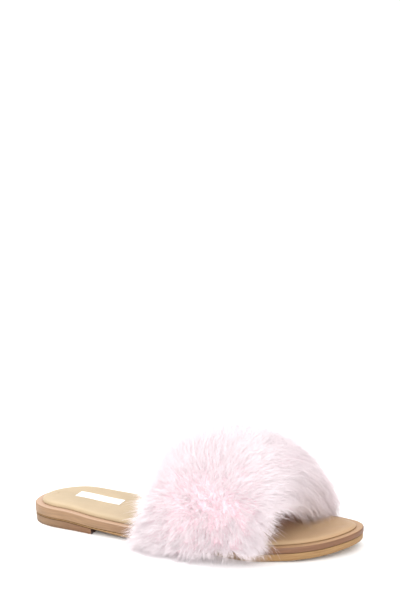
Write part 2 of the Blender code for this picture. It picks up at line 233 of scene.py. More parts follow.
def end_rounding(along):
    """Factor on the half width that closes the heel and the toe in round ends."""
    if along < HEEL_END:
        rest, squareness = 1 - along / HEEL_END, HEEL_SQUARENESS
    elif along > 1 - TOE_END:
        rest, squareness = 1 - (1 - along) / TOE_END, TOE_SQUARENESS
    else:
        return 1.0
    return max(0.0, 1 - min(rest, 1.0) ** squareness) ** (1 / squareness)


def side_of_sole(x, side):
    """Y of the sole's edge at x, where side is -1 for the outer and 1 for the inner side."""
    along = share_along(x)
    half = read_table(PLAN, "half", along) * end_rounding(along)
    return (read_table(PLAN, "centre", along) + side * half) * BALL_WIDTH / 2


def middle_of_sole(x):
    return read_table(PLAN, "centre", share_along(x)) * BALL_WIDTH / 2


def tread_height(x):
    """Height of the outsole's underside, which rises at the heel and the toe."""
    along = share_along(x)
    lift = HEEL_LIFT_HEIGHT * read_table(LEVELS, "lift", along)
    return lift + TOE_SPRING * read_table(LEVELS, "spring", along)


def seam_height(x):
    """Height of the seam between the outsole and the midsole."""
    return tread_height(x) + OUTSOLE_THICKNESS * read_table(LEVELS, "outsole", share_along(x))


def rim_height(x):
    """Height of the midsole's rim."""
    return seam_height(x) + MIDSOLE_THICKNESS * read_table(LEVELS, "midsole", share_along(x))


def pad_height(x):
    """Top of the padded insole, which is pressed flatter towards the toe."""
    share = min(max((share_along(x) - 0.45) / 0.40, 0.0), 1.0)
    return rim_height(x) + PAD_RISE - PAD_PRESS * share * share * (3 - 2 * share)


def floor_height(x):
    return 0.0


def station_shares():
    """Places along the sole, close together in the round ends."""
    curve = [1 - math.cos(math.pi / 2 * k / END_STATIONS) for k in range(END_STATIONS)]
    heel = [HEEL_END * bend for bend in curve]
    toe = [1 - TOE_END * bend for bend in curve]
    run = 1 - HEEL_END - TOE_END
    between = [HEEL_END + run * k / MIDDLE_STATIONS for k in range(MIDDLE_STATIONS + 1)]
    return heel + between + toe[::-1]


def sole_loop():
    """Plan points of the sole's edge: heel tip, outer side, toe tip, inner side."""
    shares = station_shares()
    outer = [Vector((place_along(s), side_of_sole(place_along(s), -1))) for s in shares]
    inner = [Vector((place_along(s), side_of_sole(place_along(s), 1))) for s in shares[-2:0:-1]]
    return outer + inner


SOLE_LOOP = sole_loop()


def inset_loop(inset):
    """The sole's edge, set in by a distance."""
    moved = []
    for k, point in enumerate(SOLE_LOOP):
        run = (SOLE_LOOP[(k + 1) % len(SOLE_LOOP)] - SOLE_LOOP[k - 1]).normalized()
        moved.append(point + Vector((-run.y, run.x)) * inset)
    return moved


# A ring of a sole layer: how far it is set in from the sole's edge, the height it
# follows, its rise over that, and how far it is drawn to the sole's middle line.
Ring = namedtuple("Ring", "inset height rise draw", defaults=(0.0,))


def millimetre_rings(*rows):
    """Rings whose insets and rises are given in millimetres."""
    return tuple(Ring(inset * MM, height, rise * MM, *draw) for inset, height, rise, *draw in rows)


def ring_places(ring):
    """Places of a ring's points, the way round that the sole's edge runs."""
    places = []
    for point in inset_loop(ring.inset):
        spine = Vector((point.x, middle_of_sole(point.x)))
        place = point.lerp(spine, ring.draw)
        places.append(Vector((place.x, place.y, ring.height(place.x) + ring.rise)))
    return places


def extrude_ring(bm, ring, edges, places):
    """Draws the open edge of a layer on to its next ring of places."""
    grown = bmesh.ops.extrude_edge_only(bm, edges=edges)["geom"]
    fresh = {item for item in grown if isinstance(item, bmesh.types.BMVert)}
    ahead = []
    for vert in ring:
        ahead.append(next(e.other_vert(vert) for e in vert.link_edges if e.other_vert(vert) in fresh))
    for vert, place in zip(ahead, places):
        vert.co = place
    rim = [e for e in grown if isinstance(e, bmesh.types.BMEdge) and set(e.verts) <= fresh]
    return ahead, rim


def layer_object(name, rings, material, smooth=CREASE):
    """A closed sole layer from its rings, bottom first, with its edge unrolled in the UV map.

    U is the way round the sole and V the way up its section, both in metres."""
    bm = bmesh.new()
    ring = bmesh.ops.create_circle(bm, segments=len(SOLE_LOOP), radius=1.0)["verts"]
    edges = bm.edges[:]
    places = ring_places(rings[0])
    for vert, place in zip(ring, places):
        vert.co = place
    around = [0.0]
    for a, b in zip(SOLE_LOOP, SOLE_LOOP[1:] + SOLE_LOOP[:1]):
        around.append(around[-1] + (b - a).length)
    up = 0.0
    marks = {vert: (k, up) for k, vert in enumerate(ring)}
    for step in rings[1:]:
        fresh = ring_places(step)
        side = len(fresh) // 4
        up += (fresh[side] - places[side]).length
        ring, edges = extrude_ring(bm, ring, edges, fresh)
        marks.update({vert: (k, up) for k, vert in enumerate(ring)})
        places = fresh
    layer = bm.loops.layers.uv.new("Edge")
    last = len(SOLE_LOOP) - 1
    for face in bm.faces:
        wraps = {marks[v][0] for v in face.verts} >= {0, last}
        for loop in face.loops:
            k, height = marks[loop.vert]
            loop[layer].uv = (around[-1] if wraps and k == 0 else around[k], height)
    bmesh.ops.remove_doubles(bm, verts=bm.verts, dist=1e-7)
    bmesh.ops.recalc_face_normals(bm, faces=bm.faces)
    return mesh_object(name, bm, material, smooth)


def mesh_object(name, bm, material, smooth):
    mesh = bpy.data.meshes.new(name)
    bm.to_mesh(mesh)
    bm.free()
    mesh.shade_smooth()
    mesh.set_sharp_from_angle(angle=smooth)
    mesh.materials.append(material)
    obj = bpy.data.objects.new(name, mesh)
    bpy.context.scene.collection.objects.link(obj)
    return obj


def stands_for(piece, node):
    """Puts a piece in the place of one of the part's solids."""
    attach(piece, BODY)
    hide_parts(node)


def add_node(tree, kind, inputs=None, stops=None, **settings):
    """Adds a node with its settings, its colour stops, and its inputs' values or links."""
    node = tree.nodes.new(kind)
    for key, value in settings.items():
        setattr(node, key, value)
    for k, (place, colour) in enumerate(stops or ()):
        ramp = node.color_ramp.elements
        stop = ramp[k] if k < len(ramp) else ramp.new(place)
        stop.position, stop.color = place, (*colour, 1)
    for key, value in (inputs or {}).items():
        if isinstance(value, bpy.types.NodeSocket):
            tree.links.new(value, node.inputs[key])
        else:
            node.inputs[key].default_value = value
    return node


def new_material(name):
    material = bpy.data.materials.new(name)
    material.use_nodes = True
    tree = material.node_tree
    return material, tree, tree.nodes["Principled BSDF"]


def opaque(colour):
    return (*colour, 1.0)


def footbed_leather(looks):
    """Sheep lining leather, drum dyed and left soft: matte, with fine pores, and darker and warmer
    towards the toe in painted shade and painted pink reflection from the pile.
    """
    material, tree, shader = new_material("sheep_lining_leather")
    place = add_node(tree, "ShaderNodeTexCoord").outputs["Object"]
    along = add_node(tree, "ShaderNodeSeparateXYZ", {0: place}).outputs["X"]
    # Painted shade and painted pink reflection: this share blends the heel colour into the darker,
    # warmer toe colour under the pile.
    share = add_node(
        tree, "ShaderNodeMapRange",
        {"Value": along, "From Min": HEEL_BACK + 0.5 * SOLE_LENGTH,
         "From Max": HEEL_BACK + 0.95 * SOLE_LENGTH},
        interpolation_type="SMOOTHSTEP",
    ).outputs[0]
    tone = add_node(
        tree, "ShaderNodeMix", {0: share, 6: opaque(looks.heel), 7: opaque(looks.toe)},
        data_type="RGBA",
    ).outputs[2]
    cloud = add_node(
        tree, "ShaderNodeTexNoise", {"Vector": place, "Scale": 38.0, "Detail": 4.0}
    ).outputs["Fac"]
    shade = add_node(
        tree, "ShaderNodeMapRange",
        {"Value": cloud, "From Min": 0.3, "From Max": 0.7, "To Min": 0.90, "To Max": 1.05},
    ).outputs[0]
    colour = add_node(
        tree, "ShaderNodeVectorMath", {0: tone, "Scale": shade}, operation="SCALE"
    ).outputs[0]
    # Pores of about 0.8 mm, drawn a little coarser than real so that they show.
    pores = add_node(
        tree, "ShaderNodeTexVoronoi", {"Vector": place, "Scale": 1150.0, "Randomness": 1.0},
        feature="SMOOTH_F1",
    ).outputs["Distance"]
    creases = add_node(
        tree, "ShaderNodeTexNoise",
        {"Vector": place, "Scale": 160.0, "Detail": 6.0, "Distortion": 0.6},
    ).outputs["Fac"]
    fine = add_node(
        tree, "ShaderNodeBump", {"Height": pores, "Strength": 0.25, "Distance": 0.0002}
    ).outputs[0]
    broad = add_node(
        tree, "ShaderNodeBump",
        {"Height": creases, "Normal": fine, "Strength": 0.35, "Distance": 0.0008},
    ).outputs[0]
    tree.links.new(colour, shader.inputs["Base Color"])
    tree.links.new(broad, shader.inputs["Normal"])
    shader.inputs["Roughness"].default_value = 0.52
    shader.inputs["Coat Weight"].default_value = 0.08
    shader.inputs["Coat Roughness"].default_value = 0.4
    return material


def along_share(tree, place, start, end):
    """Soft step from 0 at one place along the shoe to 1 at another."""
    along = add_node(tree, "ShaderNodeSeparateXYZ", {0: place}).outputs["X"]
    return add_node(
        tree, "ShaderNodeMapRange", {"Value": along, "From Min": start, "From Max": end},
        interpolation_type="SMOOTHSTEP",
    ).outputs[0]


def blend(tree, share, first, second):
    """Mixes two colours, each given as a value or as a socket."""
    ends = [end if isinstance(end, bpy.types.NodeSocket) else opaque(end) for end in (first, second)]
    return add_node(
        tree, "ShaderNodeMix", {0: share, 6: ends[0], 7: ends[1]}, data_type="RGBA"
    ).outputs[2]


def edge_streaks(tree, unrolled, along, across, detail):
    """Noise drawn out into fine layers that run along a sole's edge."""
    stretched = add_node(
        tree, "ShaderNodeMapping", {"Vector": unrolled, "Scale": (along, across, 1.0)}
    ).outputs[0]
    return add_node(
        tree, "ShaderNodeTexNoise", {"Vector": stretched, "Scale": 1.0, "Detail": detail}
    ).outputs["Fac"]


def midsole_edge(looks):
    """Leather board stacked and stained at the side, under a paler rim; the side band and the rim turn
    darker towards the toe in painted shade.
    """
    material, tree, shader = new_material("stacked_leather_board")
    unrolled = add_node(tree, "ShaderNodeUVMap", uv_map="Edge").outputs[0]
    height = add_node(tree, "ShaderNodeSeparateXYZ", {0: unrolled}).outputs["Y"]
    place = add_node(tree, "ShaderNodeTexCoord").outputs["Object"]
    # Painted shade: this share blends the side band and the rim into their darker toe colours.
    toward_toe = along_share(tree, place, HEEL_BACK + 0.1 * SOLE_LENGTH, HEEL_BACK + 0.7 * SOLE_LENGTH)
    # Layers of about half a millimetre that run along the edge and break up.
    streaks = edge_streaks(tree, unrolled, 60.0, 1900.0, 4.0)
    band = blend(tree, toward_toe, looks.band, looks.band_toe_painted_shade)
    shade = add_node(
        tree, "ShaderNodeMapRange",
        {"Value": streaks, "From Min": 0.3, "From Max": 0.68, "To Min": 0.72, "To Max": 1.12},
    ).outputs[0]
    band = add_node(
        tree, "ShaderNodeVectorMath", {0: band, "Scale": shade}, operation="SCALE"
    ).outputs[0]
    wrap = add_node(
        tree, "ShaderNodeMapRange",
        {"Value": height, "From Min": RIM_START - 0.4 * MM, "From Max": RIM_START + 0.2 * MM},
        interpolation_type="SMOOTHSTEP",
    ).outputs[0]
    rim = blend(tree, toward_toe, looks.rim, looks.rim_toe_painted_shade)
    colour = blend(tree, wrap, band, rim)
    grain = add_node(
        tree, "ShaderNodeBump", {"Height": streaks, "Strength": 0.4, "Distance": 0.0002}
    ).outputs[0]
    tree.links.new(colour, shader.inputs["Base Color"])
    tree.links.new(grain, shader.inputs["Normal"])
    shader.inputs["Roughness"].default_value = 0.5
    return material


def outsole_rubber(looks):
    """Crepe-coloured rubber sheet, cut and buffed: matte with fine streaks along the cut."""
    material, tree, shader = new_material("buffed_rubber_sheet")
    unrolled = add_node(tree, "ShaderNodeUVMap", uv_map="Edge").outputs[0]
    stretched = add_node(
        tree, "ShaderNodeMapping", {"Vector": unrolled, "Scale": (70.0, 1500.0, 1.0)}
    ).outputs[0]
    streaks = add_node(
        tree, "ShaderNodeTexNoise", {"Vector": stretched, "Scale": 1.0, "Detail": 4.0}
    ).outputs["Fac"]
    colour = add_node(
        tree, "ShaderNodeValToRGB", {"Fac": streaks},
        stops=((0.30, looks.outsole_dark), (0.60, looks.outsole)),
    ).outputs["Color"]
    grain = add_node(
        tree, "ShaderNodeBump", {"Height": streaks, "Strength": 0.4, "Distance": 0.0002}
    ).outputs[0]
    tree.links.new(colour, shader.inputs["Base Color"])
    tree.links.new(grain, shader.inputs["Normal"])
    shader.inputs["Roughness"].default_value = 0.62
    return material


def lift_stack(looks):
    """Stacked heel board: thin pressed layers, sanded, redder and darker towards its front, with a
    painted shadow in near-black brown on its breast face.
    """
    material, tree, shader = new_material("stacked_heel_board")
    place = add_node(tree, "ShaderNodeTexCoord").outputs["Object"]
    unrolled = add_node(tree, "ShaderNodeUVMap", uv_map="Edge").outputs[0]
    streaks = edge_streaks(tree, unrolled, 50.0, 1600.0, 3.0)
    toward_breast = along_share(tree, place, BREAST - 45 * MM, BREAST)
    breast = [c * w for c, w in zip(looks.lift, (0.88, 0.70, 0.60))]
    board = blend(tree, toward_breast, looks.lift, breast)
    shade = add_node(
        tree, "ShaderNodeMapRange",
        {"Value": streaks, "From Min": 0.3, "From Max": 0.65, "To Min": 0.82, "To Max": 1.08},
    ).outputs[0]
    board = add_node(
        tree, "ShaderNodeVectorMath", {0: board, "Scale": shade}, operation="SCALE"
    ).outputs[0]
    # Painted shadow: the breast face takes the near-black breast colour for the shade under the sole.
    front = along_share(tree, place, BREAST - 0.5 * MM, BREAST - 0.2 * MM)
    colour = blend(tree, front, board, looks.breast)
    grain = add_node(
        tree, "ShaderNodeBump", {"Height": streaks, "Strength": 0.4, "Distance": 0.0002}
    ).outputs[0]
    tree.links.new(colour, shader.inputs["Base Color"])
    tree.links.new(grain, shader.inputs["Normal"])
    shader.inputs["Roughness"].default_value = 0.55
    return material


def label_satin(looks):
    """Woven satin patch: white and slightly shiny, with a thin grey frame near its edge."""
    material, tree, shader = new_material("woven_satin")
    unrolled = add_node(tree, "ShaderNodeUVMap", uv_map="Patch").outputs[0]
    parts = add_node(tree, "ShaderNodeSeparateXYZ", {0: unrolled}).outputs
    weave = add_node(
        tree, "ShaderNodeTexWave", {"Vector": unrolled, "Scale": 60.0}, bands_direction="Y"
    ).outputs["Fac"]
    grain = add_node(
        tree, "ShaderNodeBump", {"Height": weave, "Strength": 0.2, "Distance": 0.0001}
    ).outputs[0]
    inside = [
        add_node(tree, "ShaderNodeMath", {0: part, 1: 0.5}, operation="SUBTRACT").outputs[0]
        for part in (parts["X"], parts["Y"])
    ]
    reach = [
        add_node(tree, "ShaderNodeMath", {0: value}, operation="ABSOLUTE").outputs[0]
        for value in inside
    ]
    near = add_node(tree, "ShaderNodeMath", {0: reach[0], 1: 0.465}, operation="SUBTRACT")
    side = add_node(tree, "ShaderNodeMath", {0: reach[1], 1: 0.39}, operation="SUBTRACT")
    wide = add_node(tree, "ShaderNodeMath", {0: near.outputs[0], 1: 3.4}, operation="MULTIPLY")
    frame_line = add_node(
        tree, "ShaderNodeMath", {0: wide.outputs[0], 1: side.outputs[0]}, operation="MAXIMUM"
    )
    away = add_node(tree, "ShaderNodeMath", {0: frame_line.outputs[0]}, operation="ABSOLUTE")
    line = add_node(
        tree, "ShaderNodeMapRange",
        {"Value": away.outputs[0], "From Min": 0.012, "From Max": 0.03, "To Min": 1.0,
         "To Max": 0.0},
    ).outputs[0]
    colour = add_node(
        tree, "ShaderNodeMix",
        {0: line, 6: opaque(looks.label), 7: opaque(hex_colour("B9B9B6"))}, data_type="RGBA",
    ).outputs[2]
    tree.links.new(colour, shader.inputs["Base Color"])
    tree.links.new(grain, shader.inputs["Normal"])
    shader.inputs["Roughness"].default_value = 0.35
    return material


def strap_knit(looks):
    """Knitted polyester backing in the pile's pink: soft, with fine ribs along the strap."""
    material, tree, shader = new_material("knitted_backing")
    place = add_node(tree, "ShaderNodeTexCoord").outputs["Object"]
    ribs = add_node(
        tree, "ShaderNodeTexWave", {"Vector": place, "Scale": 320.0, "Distortion": 1.2},
        bands_direction="X",
    ).outputs["Fac"]
    colour = add_node(
        tree, "ShaderNodeValToRGB", {"Fac": ribs},
        stops=((0.1, [c * 0.8 for c in looks.backing]), (0.9, looks.backing)),
    ).outputs["Color"]
    grain = add_node(
        tree, "ShaderNodeBump", {"Height": ribs, "Strength": 0.4, "Distance": 0.0003}
    ).outputs[0]
    tree.links.new(colour, shader.inputs["Base Color"])
    tree.links.new(grain, shader.inputs["Normal"])
    shader.inputs["Roughness"].default_value = 0.85
    shader.inputs["Sheen Weight"].default_value = 0.3
    return material


def pile_hair(looks):
    """Modacrylic pile: fine, nearly white fibres, deeper pink at the foot."""
    material, tree, shader = new_material("modacrylic_pile")
    strand = add_node(tree, "ShaderNodeUVMap", uv_map="Strand").outputs[0]
    parts = add_node(tree, "ShaderNodeSeparateXYZ", {0: strand}).outputs
    pale = add_node(
        tree, "ShaderNodeValToRGB", {"Fac": parts["Y"]},
        stops=((0.0, looks.shafts), (0.8, looks.tips)),
    ).outputs["Color"]
    deep = add_node(
        tree, "ShaderNodeValToRGB", {"Fac": parts["Y"]},
        stops=((0.0, looks.roots), (0.55, looks.shafts), (0.9, looks.tips)),
    ).outputs["Color"]
    varied = add_node(
        tree, "ShaderNodeMix", {0: parts["X"], 6: pale, 7: deep}, data_type="RGBA"
    ).outputs[2]
    tree.links.new(varied, shader.inputs["Base Color"])
    shader.inputs["Roughness"].default_value = 0.6
    shader.inputs["Specular IOR Level"].default_value = 0.25
    return material


def pile_undercoat(looks):
    """The dense short hairs near the backing, seen only between the tufts."""
    material, tree, shader = new_material("pile_undercoat")
    place = add_node(tree, "ShaderNodeTexCoord").outputs["Object"]
    fluff = add_node(
        tree, "ShaderNodeTexNoise", {"Vector": place, "Scale": 420.0, "Detail": 5.0}
    ).outputs["Fac"]
    colour = add_node(
        tree, "ShaderNodeValToRGB", {"Fac": fluff},
        stops=((0.2, looks.roots), (1.0, looks.shafts)),
    ).outputs["Color"]
    grain = add_node(
        tree, "ShaderNodeBump", {"Height": fluff, "Strength": 0.8, "Distance": 0.001}
    ).outputs[0]
    tree.links.new(colour, shader.inputs["Base Color"])
    tree.links.new(grain, shader.inputs["Normal"])
    shader.inputs["Roughness"].default_value = 0.9
    return material


# Rings of each layer, bottom first: inset, height followed, rise, and draw to the middle.
OUTSOLE_RINGS = millimetre_rings(
    (3.0, tread_height, 0.0, 1.0),
    (3.0, tread_height, 0.0, 0.5),
    (3.0, tread_height, 0.0),
    (1.3, tread_height, 0.0),
    (0.8, tread_height, 0.10),
    (0.5, tread_height, 0.45),
    (0.4, seam_height, -0.65),
    (0.5, seam_height, -0.40),
    (0.9, seam_height, -0.30),
    (3.0, seam_height, -0.30),
    (3.0, seam_height, -0.30, 0.5),
    (3.0, seam_height, -0.30, 1.0),
)
LIFT_RINGS = millimetre_rings(
    (3.0, floor_height, 0.0, 1.0),
    (3.0, floor_height, 0.0, 0.5),
    (3.0, floor_height, 0.0),
    (1.6, floor_height, 0.0),
    (1.1, floor_height, 0.20),
    (0.9, floor_height, 0.70),
    (0.45, tread_height, -0.70),
    (0.65, tread_height, -0.30),
    (1.2, tread_height, -0.30),
    (3.0, tread_height, -0.30, 0.5),
    (3.0, tread_height, -0.30, 1.0),
)
MIDSOLE_RINGS = millimetre_rings(
    (3.0, seam_height, 0.0, 1.0),
    (3.0, seam_height, 0.0, 0.5),
    (3.0, seam_height, 0.0),
    (0.5, seam_height, 0.0),
    (0.1, seam_height, 0.25),
    (0.0, seam_height, 0.8),
    (0.0, rim_height, -1.6),
    (0.0, rim_height, -1.1),
    (0.25, rim_height, -0.5),
    (0.7, rim_height, -0.12),
    (1.4, rim_height, 0.0),
    (3.2, rim_height, 0.05),
    (4.9, rim_height, -0.05),
    (5.7, rim_height, -0.15),
    (6.4, rim_height, -0.20),
    (9.0, rim_height, -0.20),
    (9.0, rim_height, -0.20, 0.5),
    (9.0, rim_height, -0.20, 1.0),
)
INSOLE_RINGS = millimetre_rings(
    (9.0, rim_height, 0.0, 1.0),
    (9.0, rim_height, 0.0, 0.5),
    (9.0, rim_height, 0.0),
    (6.0, rim_height, 0.0),
    (5.6, rim_height, 0.15),
    (5.5, rim_height, 0.7),
    (5.8, pad_height, -1.7),
    (6.5, pad_height, -0.95),
    (7.6, pad_height, -0.40),
    (9.2, pad_height, -0.12),
    (11.5, pad_height, 0.0),
    (15.0, pad_height, 0.0),
    (15.0, pad_height, -0.08, 0.35),
    (15.0, pad_height, -0.15, 0.7),
    (15.0, pad_height, -0.2, 1.0),
)


def length_up(rings, first, last):
    """Way up a layer's section between two of its rings, beside the ball of the foot."""
    run = 0.0
    places = [ring_places(ring)[len(SOLE_LOOP) // 4] for ring in rings[first : last + 1]]
    for a, b in zip(places, places[1:]):
        run += (b - a).length
    return run


RIM_START = length_up(MIDSOLE_RINGS, 0, 9)


class SANDAL_OT_sole(bpy.types.Operator):
    """Builds the outsole, the heel lift and the midsole with its rim."""

    bl_idname = "sandal.sole"
    bl_label = "Sole"

    def execute(self, context):
        looks = context.scene.sandal_sole
        outsole = layer_object("outsole_sheet", OUTSOLE_RINGS, outsole_rubber(looks))
        stands_for(outsole, "outsole")
        lift = self.heel_block(lift_stack(looks))
        stands_for(lift, "heel_lift")
        midsole = layer_object("midsole_band", MIDSOLE_RINGS, midsole_edge(looks))
        stands_for(midsole, "midsole")
        return {"FINISHED"}

    def heel_block(self, material):
        block = layer_object("heel_stack", LIFT_RINGS, material)
        bm = bmesh.new()
        bm.from_mesh(block.data)
        geometry = bm.verts[:] + bm.edges[:] + bm.faces[:]
        cut = bmesh.ops.bisect_plane(
            bm, geom=geometry, plane_co=(BREAST, 0, 0), plane_no=(1, 0, 0), clear_outer=True
        )
        edges = [item for item in cut["geom_cut"] if isinstance(item, bmesh.types.BMEdge)]
        bmesh.ops.contextual_create(bm, geom=edges)
        bmesh.ops.recalc_face_normals(bm, faces=bm.faces)
        bm.to_mesh(block.data)
        bm.free()
        block.data.set_sharp_from_angle(angle=CREASE)
        return block


class SANDAL_OT_footbed(bpy.types.Operator):
    """Builds the padded insole and its plain label."""

    bl_idname = "sandal.footbed"
    bl_label = "Footbed"

    def execute(self, context):
        looks = context.scene.sandal_footbed
        insole = layer_object("footbed_pad", INSOLE_RINGS, footbed_leather(looks))
        stands_for(insole, "insole")
        stands_for(self.label(label_satin(looks)), "insole_label")
        return {"FINISHED"}

    def label(self, material):
        """A thin patch that follows the insole under it."""
        low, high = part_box("insole_label")
        bm = bmesh.new()
        bmesh.ops.create_grid(bm, x_segments=24, y_segments=8, size=0.5, calc_uvs=False)
        layer = bm.loops.layers.uv.new("Patch")
        for face in bm.faces:
            for loop in face.loops:
                loop[layer].uv = (loop.vert.co.x + 0.5, loop.vert.co.y + 0.5)
        for vert in bm.verts:
            x = low[0] + (high[0] - low[0]) * (vert.co.x + 0.5)
            y = low[1] + (high[1] - low[1]) * (vert.co.y + 0.5)
            vert.co = Vector((x, y, rim_height(x) + LABEL_RISE))
        top = bmesh.ops.extrude_face_region(bm, geom=bm.faces[:])["geom"]
        raised = [item for item in top if isinstance(item, bmesh.types.BMVert)]
        bmesh.ops.translate(bm, verts=raised, vec=(0, 0, LABEL_THICKNESS))
        bmesh.ops.recalc_face_normals(bm, faces=bm.faces)
        return mesh_object("label_patch", bm, material, CREASE)


def merged_copy(node):
    """A welded copy of a solid's mesh, as a bmesh."""
    bm = bmesh.new()
    bm.from_mesh(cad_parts[node].data)
    bmesh.ops.remove_doubles(bm, verts=bm.verts, dist=1e-6)
    return bm


class SANDAL_OT_strap(bpy.types.Operator):
    """Builds the strap's knitted band under the pile."""

    bl_idname = "sandal.strap"
    bl_label = "Strap"

    def execute(self, context):
        bm = merged_copy("upper_strap")
        material = strap_knit(context.scene.sandal_fur)
        strap = mesh_object("strap_band", bm, material, math.radians(35))
        stands_for(strap, "upper_strap")
        return {"FINISHED"}


# Strap and pile, in shares round the arch from the outer to the inner side, and across
# the strap from its rear to its front edge.
STRAP_WALL = 2.2 * MM
STRAP_WIDTH = 62 * MM
STRAP_ALONG = 0.627
STRAP_SLANT = 24 * MM
STRAP_RISE = 44 * MM
STRAP_BOX = 2.3
STRAP_LEAN = 2 * MM
PILE_DEPTH = 24 * MM
PILE_FAN = math.radians(76)
HEM_HEIGHT = 3.5 * MM
FLOOR_GAP = 0.8 * MM
UNDERCOAT_SHARE = 0.76
ROOT_SHARE = 0.66
FUR_SEED = 7

Instep = namedtuple("Instep", "along rise")
INSTEP = (
    Instep(0.40, 1.18),
    Instep(0.50, 1.08),
    Instep(0.60, 1.00),
    Instep(0.70, 0.88),
    Instep(0.80, 0.74),
)

# A row of the pile. Hem rows run down the sole's side: their share out to its edge, their
# share up from the hem, and their tilt. Every row then has the depth of its hair, what
# that is times at the rear and the front edge, how far the front droops, how far the
# hair is combed round to the inner side, how much it gathers in tufts, and how much of the
# deep pink at its foot shows.
PileRow = namedtuple("PileRow", "round out up tilt depth rear front droop comb tufts foot")
PILE_ROWS = (
    PileRow(0.00, 1.00, 0.00, -6, 0.62, 1.85, 0.95, 0.0, -0.35, 0.9, 0.6),
    PileRow(0.00, 1.00, 0.55, -2, 0.74, 1.75, 1.00, 0.0, -0.35, 0.9, 0.8),
    PileRow(0.00, 1.00, 1.00, 8, 0.82, 1.62, 1.05, 0.0, -0.35, 0.85, 0.9),
    PileRow(0.00, 0.35, 1.00, 18, 0.89, 1.48, 1.08, 0.0, -0.40, 0.8, 0.9),
    PileRow(0.06, 0.0, 0.0, 0, 0.93, 1.30, 1.10, 0.1, -0.30, 0.7, 0.8),
    PileRow(0.12, 0.0, 0.0, 0, 0.95, 1.16, 1.08, 0.2, 0.00, 0.6, 0.6),
    PileRow(0.18, 0.0, 0.0, 0, 0.96, 1.08, 1.05, 0.3, 0.35, 0.45, 0.3),
    PileRow(0.24, 0.0, 0.0, 0, 0.96, 1.02, 1.05, 0.5, 0.60, 0.38, 0.15),
    PileRow(0.30, 0.0, 0.0, 0, 0.96, 0.98, 1.08, 0.7, 0.75, 0.30, 0.1),
    PileRow(0.36, 0.0, 0.0, 0, 0.96, 0.94, 1.12, 0.9, 0.80, 0.27, 0.1),
    PileRow(0.42, 0.0, 0.0, 0, 0.96, 0.90, 1.20, 1.0, 0.80, 0.25, 0.1),
    PileRow(0.48, 0.0, 0.0, 0, 0.97, 0.88, 1.28, 1.1, 0.75, 0.25, 0.1),
    PileRow(0.54, 0.0, 0.0, 0, 0.99, 0.88, 1.36, 1.2, 0.70, 0.25, 0.1),
    PileRow(0.60, 0.0, 0.0, 0, 1.02, 0.88, 1.40, 1.2, 0.65, 0.25, 0.1),
    PileRow(0.66, 0.0, 0.0, 0, 1.04, 0.90, 1.44, 1.2, 0.60, 0.28, 0.1),
    PileRow(0.72, 0.0, 0.0, 0, 1.04, 0.92, 1.46, 1.1, 0.50, 0.32, 0.1),
    PileRow(0.78, 0.0, 0.0, 0, 1.02, 0.94, 1.42, 0.8, 0.40, 0.36, 0.1),
    PileRow(0.84, 0.0, 0.0, 0, 0.98, 0.96, 1.30, 0.5, 0.35, 0.42, 0.2),
    PileRow(0.90, 0.0, 0.0, 0, 0.92, 0.98, 1.18, 0.3, 0.35, 0.5, 0.2),
    PileRow(0.96, 0.0, 0.0, 0, 0.87, 1.02, 1.08, 0.1, 0.35, 0.6, 0.3),
    PileRow(1.00, 0.35, 1.00, 18, 0.84, 1.30, 0.98, 0.0, 0.30, 0.7, 0.4),
    PileRow(1.00, 1.00, 1.00, 8, 0.78, 1.40, 0.92, 0.0, 0.25, 0.8, 0.4),
    PileRow(1.00, 1.00, 0.55, -2, 0.70, 1.50, 0.88, 0.0, 0.20, 0.8, 0.4),
    PileRow(1.00, 1.00, 0.00, -6, 0.60, 1.60, 0.85, 0.0, 0.20, 0.8, 0.4),
)
PILE_COLUMNS = 16
FRONT_DROOP = 1.5
FRINGE_TURN = math.radians(24)
HAIR_SPREAD = 0.16
LARGE_TUFT_LEAN, SMALL_TUFT_LEAN = 0.24, 0.18
SIDE_HANG = 0.30
COMB_REACH = 6 * MM
FLYAWAY_SHARE, FLYAWAY_REACH = 0.09, 1.28
EDGE_DENSITY = 1.2
UNDERCOAT_ROWS, UNDERCOAT_COLUMNS = 70, 36
UNDERCOAT_FLOOR_GAP = 1.5 * MM
STRAND_STEPS = np.array([0.0, 0.38, 0.72, 1.0])
STRAND_WIDTHS = np.array([1.0, 0.86, 0.52])
FUR_PIECES = ("outer_hem", "outer", "top", "inner", "inner_hem")


def unit(vectors):
    return vectors / np.maximum(np.linalg.norm(vectors, axis=-1, keepdims=True), 1e-12)


def strap_rear(round_share):
    """X of the strap's rear edge at a share of the way round the arch."""
    slant = STRAP_SLANT * (round_share - 0.5)
    return place_along(STRAP_ALONG) + slant - STRAP_WIDTH / 2


def arch_place(x, round_share):
    """Place on the strap's inner face."""
    outer_foot = side_of_sole(x, -1) + RIM_WIDTH - 2 * SEAT_GAP
    inner_foot = side_of_sole(x, 1) - RIM_WIDTH + 2 * SEAT_GAP
    middle, half = (outer_foot + inner_foot) / 2, (inner_foot - outer_foot) / 2
    rise = INSOLE_THICKNESS + STRAP_RISE * read_table(INSTEP, "rise", share_along(x))
    angle = math.pi * min(max(round_share, 0.0), 1.0)
    across = -math.copysign(abs(math.cos(angle)) ** (2 / STRAP_BOX), math.cos(angle))
    up = max(math.sin(angle), 0.0) ** (2 / STRAP_BOX)
    lean = STRAP_LEAN * up**2
    return Vector((x, middle + half * across + lean, rim_height(x) + rise * up))


def arch_outward(x, round_share):
    """Way out of the strap at a place on it."""
    ahead = arch_place(x, min(round_share + 0.004, 1.0))
    behind = arch_place(x, max(round_share - 0.004, 0.0))
    run = ahead - behind
    return Vector((0, -run.z, run.y)).normalized()


def hem_lift(across):
    """Share up the sole's side at which the outer hem sits: low behind, at the rim in front."""
    share = min(max((across - 0.38) / 0.30, 0.0), 1.0)
    return share * share * (3 - 2 * share)


